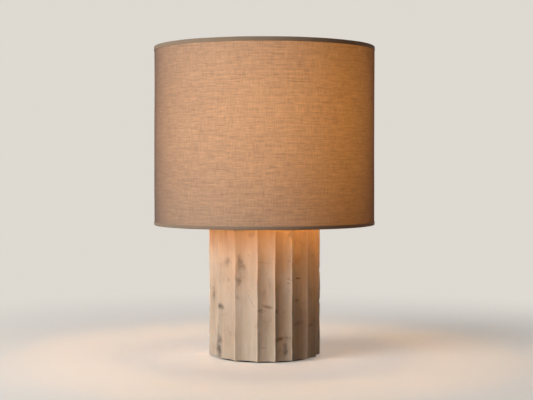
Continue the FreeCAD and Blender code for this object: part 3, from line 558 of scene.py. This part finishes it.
def column():
    low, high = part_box("column")
    piece = cylinder("fluted_column", ARRIS_RADIUS - ARRIS_WEAR, low.z, high.z, COLUMN_WALLS)
    for cutter in flute_cutters(low.z - 10 * MM, high.z + 10 * MM):
        cut(piece, cutter)
    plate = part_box("base_plate")
    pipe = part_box("lamp_pipe")[1].x
    recess = plate[1].x + PLATE_ROOM
    cut(piece, cylinder("recess", recess, low.z - 10 * MM, plate[1].z, COLUMN_WALLS))
    cut(piece, cylinder("core", recess - PLATE_LEDGE, plate[1].z - MM, high.z - ROOF, COLUMN_WALLS))
    cut(piece, cylinder("pipe_hole", pipe + PIPE_ROOM, high.z - ROOF - MM, high.z + 10 * MM, 48))

    skin = ARRIS_RADIUS * SKIN_SHARE
    select(piece, "EDGE", lambda p: upright(p) and math.hypot(p[0].x, p[0].y) > skin)
    bpy.ops.mesh.subdivide(number_cuts=COLUMN_ROWS)
    for level in (low.z + END_EASE, high.z - END_EASE):
        select(piece, "FACE", lambda p: min(math.hypot(c.x, c.y) for c in p) > skin)
        slice_level(level)
        bpy.ops.object.mode_set(mode="OBJECT")

    carved = piece.vertex_groups.new(name="carved")
    carved.add([v.index for v in piece.data.vertices if math.hypot(v.co.x, v.co.y) > skin], 1.0, "REPLACE")
    for scale, height, direction, seed in COLUMN_RIPPLES:
        ripple(piece, scale * MM, height * MM, direction, seed, "carved")
    lost = chips()

    def worn(place):
        reach = math.hypot(place.x, place.y)
        if reach < skin:
            return place
        inward = END_EASE * (place.z < low.z + END_EASE / 2 or place.z > high.z - END_EASE / 2)
        turn = math.atan2(place.x, -place.y)
        for angle, height, size, depth in lost:
            if abs(place.z - height) < size:
                aside = math.remainder(turn - angle, math.tau) * ARRIS_RADIUS
                share = 1 - math.hypot(aside, place.z - height) / size
                if share > 0:
                    inward += depth * min(1.0, 1.6 * share)
        keep = 1 - inward / reach
        place.x *= keep
        place.y *= keep
        return place

    moved(piece, worn)
    gland_low, gland_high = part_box("cord_gland")
    gland_height = (gland_low.z + gland_high.z) / 2
    outside = ARRIS_RADIUS + 5 * MM
    cut(piece, lying_bar("channel", GLAND_SLEEVE, recess - 8 * MM, outside, gland_height, 48))
    cut(piece, lying_bar("spot_face", gland_high.x + SPOT_FACE_ROOM, gland_high.y - GLAND_FLANGE,
                         outside, gland_height, 64))
    finished(piece, "column", stone(), 24)
    paint_stains_and_highlight(piece)


# ---------------------------------------------------------------- cloth
# The cover's thin clear coat takes light away the more, the flatter it is seen, as light through a weave
# fades towards the drum's sides. These colours are what it leaves when it is seen square on.
WEAVE_TINT = (0.70, 0.67, 0.65)
LINEN_TAUPE = (0.247, 0.218, 0.184)
LINEN_WARM = (0.280, 0.240, 0.194)
# Painted glow: the linen's emission stands in for the bulb's light shining through the cloth, brightest at
# one height.
PAINTED_GLOW = (0.445, 0.164, 0.029)
PAINTED_GLOW_WEAK = (0.41, 0.141, 0.022)
PAINTED_GLOW_HEIGHT = 0.472
PAINTED_GLOW_SPREAD = 0.200


def under_coat(colour):
    return tuple(c / t for c, t in zip(colour, WEAVE_TINT))


def linen():
    finish = material("linen_cloth")
    cloth = finish.node("ShaderNodeUVMap", {"uv_map": "cloth"})
    place = place_on(finish)
    u, v, _ = parts_of(finish, cloth)

    def threads(along_u, along_v, detail=2.0):
        return cloudy(finish, stretched(finish, cloth, along_u, along_v, 1.0), 1.0, detail, 0.55) - 0.5

    weft = threads(55.0, 560.0)
    band = threads(17.0, 240.0)
    warp = threads(560.0, 60.0)
    rib = threads(240.0, 26.0)
    slub = step(finish, threads(22.0, 330.0, 1.0), 0.15, 0.26)
    thin = step(finish, threads(24.0, 380.0, 1.0), -0.16, -0.26)
    cloud = cloudy(finish, place, 9.0, 2.0, 0.5) - 0.5
    cross = (u * (math.tau / (1.1 * MM))).maths("SINE") * (v * (math.tau / (1.1 * MM))).maths("SINE")
    uneven = weft * 0.62 + band * 0.34 + warp * 0.46 + rib * 0.18 + cloud * 0.14
    colour = blend(finish, step(finish, band, -0.15, 0.15, 0.0, 0.5), under_coat(LINEN_TAUPE),
                   under_coat(LINEN_WARM))
    colour = shaded(finish, colour, uneven * 0.8 - slub * 0.16 + cross * 0.03 + 1.0)
    # Painted glow: an emission in place of the bulb's light through the cloth. It is strongest at one height
    # and fades above and below, weaker at thick slubs and stronger where the cloth is thin.
    away = (v - PAINTED_GLOW_HEIGHT) / PAINTED_GLOW_SPREAD
    painted_glow_strength = (away * away * -0.5).maths("EXPONENT") * (uneven * 1.25 - slub * 0.24 + thin * 0.16 + 1.0)
    painted_glow_colour = blend(finish, step(finish, painted_glow_strength, 0.5, 1.2), under_coat(PAINTED_GLOW_WEAK), under_coat(PAINTED_GLOW))
    relief = cross * 0.30 + weft * 1.1 + warp * 0.9 + slub * 0.8
    normal = bump(finish, relief, 0.55, 0.25 * MM)
    return surface(finish, colour, 0.9, normal, Specular_IOR_Level=0.2, Sheen_Weight=0.32,
                   Sheen_Roughness=0.6, Emission_Color=shaded(finish, painted_glow_colour, painted_glow_strength), Emission_Strength=1.0,
                   Coat_Weight=1.0, Coat_IOR=1.02, Coat_Roughness=1.0, Coat_Tint=(*WEAVE_TINT, 1.0))


def tape():
    finish = material("woven_tape")
    cloth = finish.node("ShaderNodeUVMap", {"uv_map": "cloth"})
    u, *_ = parts_of(finish, cloth)
    rib = (u * (math.tau / (1.4 * MM))).maths("SINE")
    yarn = cloudy(finish, stretched(finish, cloth, 700.0, 60.0, 1.0), 1.0, 2.0, 0.6)
    soft = cloudy(finish, cloth, 40.0, 3.0, 0.6)
    colour = shaded(finish, srgb(140, 124, 106), (yarn - 0.5) * 0.3 + (soft - 0.5) * 0.24 + rib * 0.04 + 1.0)
    normal = bump(finish, rib * 0.4 + yarn, 0.5, 0.2 * MM)
    # The faint warm emission is painted glow, standing in for the bulb's light through the tape.
    return surface(finish, colour, 0.88, normal, Specular_IOR_Level=0.2, Sheen_Weight=0.1,
                   Emission_Color=(0.030, 0.010, 0.003, 1.0), Emission_Strength=1.0)


def linen_cover():
    low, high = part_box("shade_linen")
    radius = high.x
    piece = cylinder("linen_cover", radius, low.z, high.z, DRUM_SIDES, ends="NOTHING")
    select(piece, "EDGE", upright)
    bpy.ops.mesh.subdivide(number_cuts=DRUM_ROWS)
    bpy.ops.object.mode_set(mode="OBJECT")
    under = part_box("top_trim")[0].z - SEAM_TO_TAPE
    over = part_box("bottom_trim")[1].z + SEAM_TO_TAPE
    for point, way in (((SEAM_HALF, 0, 0), (1, 0, 0)), ((-SEAM_HALF, 0, 0), (1, 0, 0)),
                       ((0, 0, under), (0, 0, 1)), ((0, 0, over), (0, 0, 1))):
        select(piece, "FACE", lambda p: min(c.y for c in p) > 0.9 * radius)
        bpy.ops.mesh.bisect(plane_co=point, plane_no=way)
        bpy.ops.object.mode_set(mode="OBJECT")
    select(piece, "FACE", lambda p: min(c.y for c in p) > 0.9 * radius
           and max(abs(c.x) for c in p) < SEAM_HALF + TOUCH
           and min(c.z for c in p) > over - TOUCH and max(c.z for c in p) < under + TOUCH)
    bpy.ops.mesh.extrude_region_move(TRANSFORM_OT_translate={"value": (0, SEAM_PROUD, 0)})
    bpy.ops.object.mode_set(mode="OBJECT")
    ripple(piece, 130 * MM, 1.0 * MM, "NORMAL", 5)
    thickened(piece, LINEN_THICKNESS, -1)
    cloth_map(piece, radius)
    finished(piece, "shade_linen", linen(), 40)


def folded_tape(name, node, upside):
    """A tape folded over the shade's rim. upside is 1 at the top rim and -1 at the bottom one."""
    low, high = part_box(node)
    outer = high.x - TAPE_THICKNESS / 2
    inner = outer - TAPE_DEPTH
    rim, hem = (high.z, low.z) if upside > 0 else (low.z, high.z)
    rim -= upside * TAPE_THICKNESS / 2
    turn = TAPE_BEND
    tuck = rim - upside * TAPE_TUCK
    profile = [(outer, hem), (outer + TAPE_BELLY, (hem + rim) / 2), (outer, rim - upside * turn)]
    for degrees in (30, 60, 90):
        a = math.radians(degrees)
        profile.append((outer - turn * (1 - math.cos(a)), rim - upside * turn * (1 - math.sin(a))))
    profile.append(((outer + inner) / 2, rim))
    for degrees in (90, 60, 30, 0):
        a = math.radians(degrees)
        profile.append((inner + turn * (1 - math.cos(a)), rim - upside * turn * (1 - math.sin(a))))
    profile.append((inner, tuck))
    piece = turned_sheet(name, profile, DRUM_SIDES)
    ripple(piece, 60 * MM, 0.5 * MM, "Z", 6)
    thickened(piece, TAPE_THICKNESS, 0)
    cloth_map(piece, outer)
    finished(piece, node, tape(), 50)


# ---------------------------------------------------------------- other finishes
BULB_HEART = 0.422             # height of the filament, and how far its whitest glow reaches
HEART_REACH = 0.060
BULB_GLOW = 108.0
# Height and spread of the liner's painted glow.
LINER_PAINTED_GLOW_HEIGHT = 0.43
LINER_PAINTED_GLOW_SPREAD = 0.15


def metal(name, colour, tarnish, roughness, lines):
    """Metal with handling marks, slight tarnish and, where it is turned, fine rings."""
    finish = material(name)
    place = place_on(finish)
    film = cloudy(finish, place, 60.0, 4.0, 0.6)
    speck = cloudy(finish, place, 900.0, 2.0, 0.5)
    rings = cloudy(finish, stretched(finish, place, 20.0, 20.0, 2600.0), 1.0, 1.0, 0.5)
    scratch = cloudy(finish, stretched(finish, place, 300.0, 40.0, 1500.0), 1.0, 3.0, 0.6)
    tint = blend(finish, step(finish, film, 0.45, 0.72, 0.0, 0.35), colour, tarnish)
    tint = shaded(finish, tint, (speck - 0.5) * 0.08 + (scratch - 0.5) * 0.08 + 1.0)
    dull = (film - 0.5) * 0.22 + (scratch - 0.5) * 0.14 + roughness
    normal = bump(finish, rings * lines + scratch * 0.25, 0.20, 0.05 * MM)
    return surface(finish, tint, dull, normal, Metallic=1.0)


def moulding(name, colour, second, roughness, speckle=0.08):
    """Moulded or pressed material with flow marks and a fine skin."""
    finish = material(name)
    place = place_on(finish)
    flow = cloudy(finish, stretched(finish, place, 60.0, 60.0, 140.0), 1.0, 4.0, 0.6)
    skin = cloudy(finish, place, 1400.0, 2.0, 0.6)
    tint = blend(finish, step(finish, flow, 0.35, 0.7), colour, second)
    tint = shaded(finish, tint, (skin - 0.5) * speckle * 2 + 1.0)
    normal = bump(finish, skin + flow * 0.5, 0.15, 0.05 * MM)
    return surface(finish, tint, (skin - 0.5) * 0.1 + (flow - 0.5) * 0.12 + roughness, normal)


def fibre(name, colour, second, scale, roughness, depth):
    """Felt, paper or card: short fibres pressed together."""
    finish = material(name)
    place = place_on(finish)
    hair = cloudy(finish, place, scale, 4.0, 0.75)
    clump = cloudy(finish, place, scale * 0.12, 3.0, 0.6)
    tint = blend(finish, step(finish, clump, 0.3, 0.7), colour, second)
    tint = shaded(finish, tint, (hair - 0.5) * 0.5 + 1.0)
    normal = bump(finish, hair + clump * 0.6, 0.6, depth * MM)
    return surface(finish, tint, roughness, normal, Specular_IOR_Level=0.25)


def frosted_glass():
    """The glass is etched inside, and glows warm, whitest about the filament."""
    finish = material("frosted_glass")
    place = place_on(finish)
    *_, z = parts_of(finish, place)
    frost = cloudy(finish, place, 1200.0, 2.0, 0.6)
    heart = step(finish, (z - BULB_HEART).maths("ABSOLUTE"), HEART_REACH, 0.0)
    glow = blend(finish, heart, (0.90, 0.40, 0.080), (1.0, 0.53, 0.14))
    colour = shaded(finish, srgb(240, 234, 222), (frost - 0.5) * 0.05 + 1.0)
    normal = bump(finish, frost, 0.08, 0.03 * MM)
    return surface(finish, colour, (frost - 0.5) * 0.1 + 0.32, normal,
                   Emission_Color=glow, Emission_Strength=BULB_GLOW)


def clear_glass():
    finish = material("clear_glass")
    place = place_on(finish)
    wave = cloudy(finish, place, 90.0, 2.0, 0.5)
    colour = blend(finish, wave, (0.95, 0.97, 0.95), (0.88, 0.92, 0.90))
    return surface(finish, colour, (wave - 0.5) * 0.05 + 0.06, bump(finish, wave, 0.1, 0.1 * MM),
                   Transmission_Weight=0.9, IOR=1.5)


def liner_sheet():
    """White laminated sheet inside the linen, warm in the bulb's light, with a painted glow on top that is
    strongest near the bulb's height.
    """
    finish = material("liner_sheet")
    place = place_on(finish)
    *_, z = parts_of(finish, place)
    pulp = cloudy(finish, place, 240.0, 3.0, 0.6)
    mottle = cloudy(finish, place, 14.0, 3.0, 0.6)
    colour = blend(finish, mottle, srgb(228, 214, 194), srgb(215, 199, 176))
    colour = shaded(finish, colour, (pulp - 0.5) * 0.10 + 1.0)
    # Painted glow: an emission on top of the bulb's real light. It is strongest at one height and never falls
    # below a fifth of that.
    away = (z - LINER_PAINTED_GLOW_HEIGHT) / LINER_PAINTED_GLOW_SPREAD
    glow = shaded(finish, (0.16, 0.075, 0.018), (away * away * -0.5).maths("EXPONENT") * 0.8 + 0.2)
    return surface(finish, colour, 0.55, bump(finish, pulp, 0.15, 0.1 * MM),
                   Emission_Color=glow, Emission_Strength=1.0)


def dress_nodes():
    """Gives each CAD node that shows the finish of its own material slot."""
    finishes = {
        "felt": fibre("felt", srgb(46, 42, 38), srgb(60, 54, 48), 900.0, 0.95, 0.5),
        "zinc_steel": metal("zinc_steel", (0.62, 0.62, 0.60), (0.38, 0.37, 0.33), 0.36, 0.6),
        "brass": metal("antique_brass", (0.60, 0.42, 0.18), (0.32, 0.21, 0.10), 0.34, 0.5),
        "gland_bush": moulding("gland_bush", srgb(70, 62, 54), srgb(84, 74, 64), 0.45),
        "gasket_paper": fibre("gasket_paper", srgb(150, 128, 98), srgb(170, 146, 112), 700.0, 0.9, 0.2),
        "socket_brass": metal("socket_brass", (0.66, 0.49, 0.22), (0.40, 0.28, 0.13), 0.28, 0.7),
        "socket_card": fibre("socket_card", srgb(120, 96, 70), srgb(140, 114, 84), 800.0, 0.85, 0.15),
        "phenolic": moulding("phenolic", srgb(38, 32, 28), srgb(54, 44, 37), 0.38, 0.16),
        "knob_black": moulding("knob_black", srgb(26, 24, 23), srgb(36, 33, 31), 0.34),
        "frosted_glass": frosted_glass(),
        "clear_glass": clear_glass(),
        "black_glass": moulding("black_glass", srgb(18, 17, 18), srgb(28, 26, 27), 0.14),
        "bulb_aluminium": metal("bulb_aluminium", (0.74, 0.74, 0.73), (0.52, 0.52, 0.50), 0.30, 0.6),
        "solder": metal("solder", (0.60, 0.60, 0.61), (0.40, 0.40, 0.41), 0.42, 0.2),
        "filament_wire": metal("filament_wire", (0.45, 0.45, 0.46), (0.30, 0.29, 0.30), 0.45, 0.4),
        "shade_frame": metal("painted_wire", (0.72, 0.69, 0.63), (0.56, 0.53, 0.47), 0.5, 0.2),
        "liner_sheet": liner_sheet(),
    }
    for node in NODES.values():
        for slot in node.material_slots:
            if slot.material.name in finishes:
                slot.material = finishes[slot.material.name]


# ---------------------------------------------------------------- studio
BACKGROUND = srgb(222, 217, 209)
FLOOR_SEEN = srgb(228, 226, 223)
FLOOR_LIT = srgb(140, 134, 127)    # what its light on the lamp comes from
FLOOR_LIFT = 0.30                  # paleness added where it is seen, as in a bright room
FLOOR_RADIUS = 30.0
FLOOR_FADE = (0.30, 1.3)           # metres from the lamp over which the floor fades into the background


def seen_directly(finish):
    """1 for rays that show the background: from the camera, a mirror or a glass."""
    path = finish.node("ShaderNodeLightPath", {})
    rays = {s.name: Value(finish, s) for s in path.socket.node.outputs}
    seen = rays["Is Camera Ray"].maths("MAXIMUM", rays["Is Glossy Ray"])
    return seen.maths("MAXIMUM", rays["Is Transmission Ray"])


def world():
    finish = Finish(bpy.data.worlds.new("studio"))
    bpy.context.scene.world = finish.holder
    soft = finish.node("ShaderNodeBackground", {}, {"Color": (1.0, 0.96, 0.92, 1), "Strength": 0.06})
    shown = finish.node("ShaderNodeBackground", {}, {"Color": (*BACKGROUND, 1), "Strength": 1.0})
    mixed = finish.node("ShaderNodeMixShader", {}, [seen_directly(finish), soft, shown])
    finish.node("ShaderNodeOutputWorld", {}, [mixed])


def floor():
    bpy.ops.mesh.primitive_circle_add(vertices=96, radius=FLOOR_RADIUS, fill_type="NGON", location=(0, 0, 0))
    piece = settled(bpy.context.object, "floor")
    finish = material("pale_floor")
    place = place_on(finish)
    away = finish.node("ShaderNodeVectorMath", {"operation": "LENGTH"}, [place], out="Value")
    seen = seen_directly(finish)
    matt = finish.node("ShaderNodeBsdfDiffuse", {}, [blend(finish, seen, FLOOR_LIT, FLOOR_SEEN)])
    lift = finish.node("ShaderNodeEmission", {}, {"Color": (*BACKGROUND, 1), "Strength": seen * FLOOR_LIFT})
    near = finish.node("ShaderNodeAddShader", {}, [matt, lift])
    far = finish.node("ShaderNodeEmission", {}, {"Color": (*BACKGROUND, 1), "Strength": 1.0})
    share = step(finish, away, *FLOOR_FADE) * seen
    mixed = finish.node("ShaderNodeMixShader", {}, [share, near, far])
    finish.node("ShaderNodeOutputMaterial", {}, [mixed])
    piece.data.materials.append(finish.holder)


def softbox(name, place, size, power, colour=(1.0, 1.0, 1.0)):
    """A square lamp that looks at the middle of the object."""
    light = bpy.data.lights.new(name, "AREA")
    light.shape = "SQUARE"
    light.size = size
    light.energy = power
    light.color = colour
    box = bpy.data.objects.new(name, light)
    bpy.context.scene.collection.objects.link(box)
    box.location = place
    aim = (CAD_BOX[0] + CAD_BOX[1]) / 2 - box.location
    box.rotation_euler = aim.to_track_quat("-Z", "Y").to_euler()


# The photograph is 533 pixels wide. It was taken from 2.43 m in front, 0.38 m up, and its horizon is above
# the middle, which a small tilt and a small shift share.
FOCAL_PIXELS = 1233
IMAGE_WIDTH = 533
SENSOR = 36.0
CAMERA_PLACE = (0.0051, -2.433, 0.377)
TILT = math.radians(0.72)
SHIFT_X = -0.5 / IMAGE_WIDTH
SHIFT_Y = -0.0381


def camera():
    lens = bpy.data.cameras.new("camera")
    lens.sensor_width = SENSOR
    lens.lens = SENSOR * FOCAL_PIXELS / IMAGE_WIDTH
    lens.shift_x = SHIFT_X
    lens.shift_y = SHIFT_Y
    eye = bpy.data.objects.new("camera", lens)
    bpy.context.scene.collection.objects.link(eye)
    eye.location = CAMERA_PLACE
    eye.rotation_euler = (math.pi / 2 - TILT, 0, 0)
    bpy.context.scene.camera = eye


column()
linen_cover()
folded_tape("top_tape", "top_trim", 1)
folded_tape("bottom_tape", "bottom_trim", -1)
dress_nodes()

world()
floor()
softbox("key", (-2.46, -1.86, 1.15), 1.8, 102.0, (1.0, 0.985, 0.97))
softbox("fill", (2.6, -1.6, 1.2), 2.0, 1.0)
softbox("back", (0.4, 3.0, 1.6), 2.0, 26.0)
camera()
bpy.context.scene.view_settings.view_transform = "Standard"
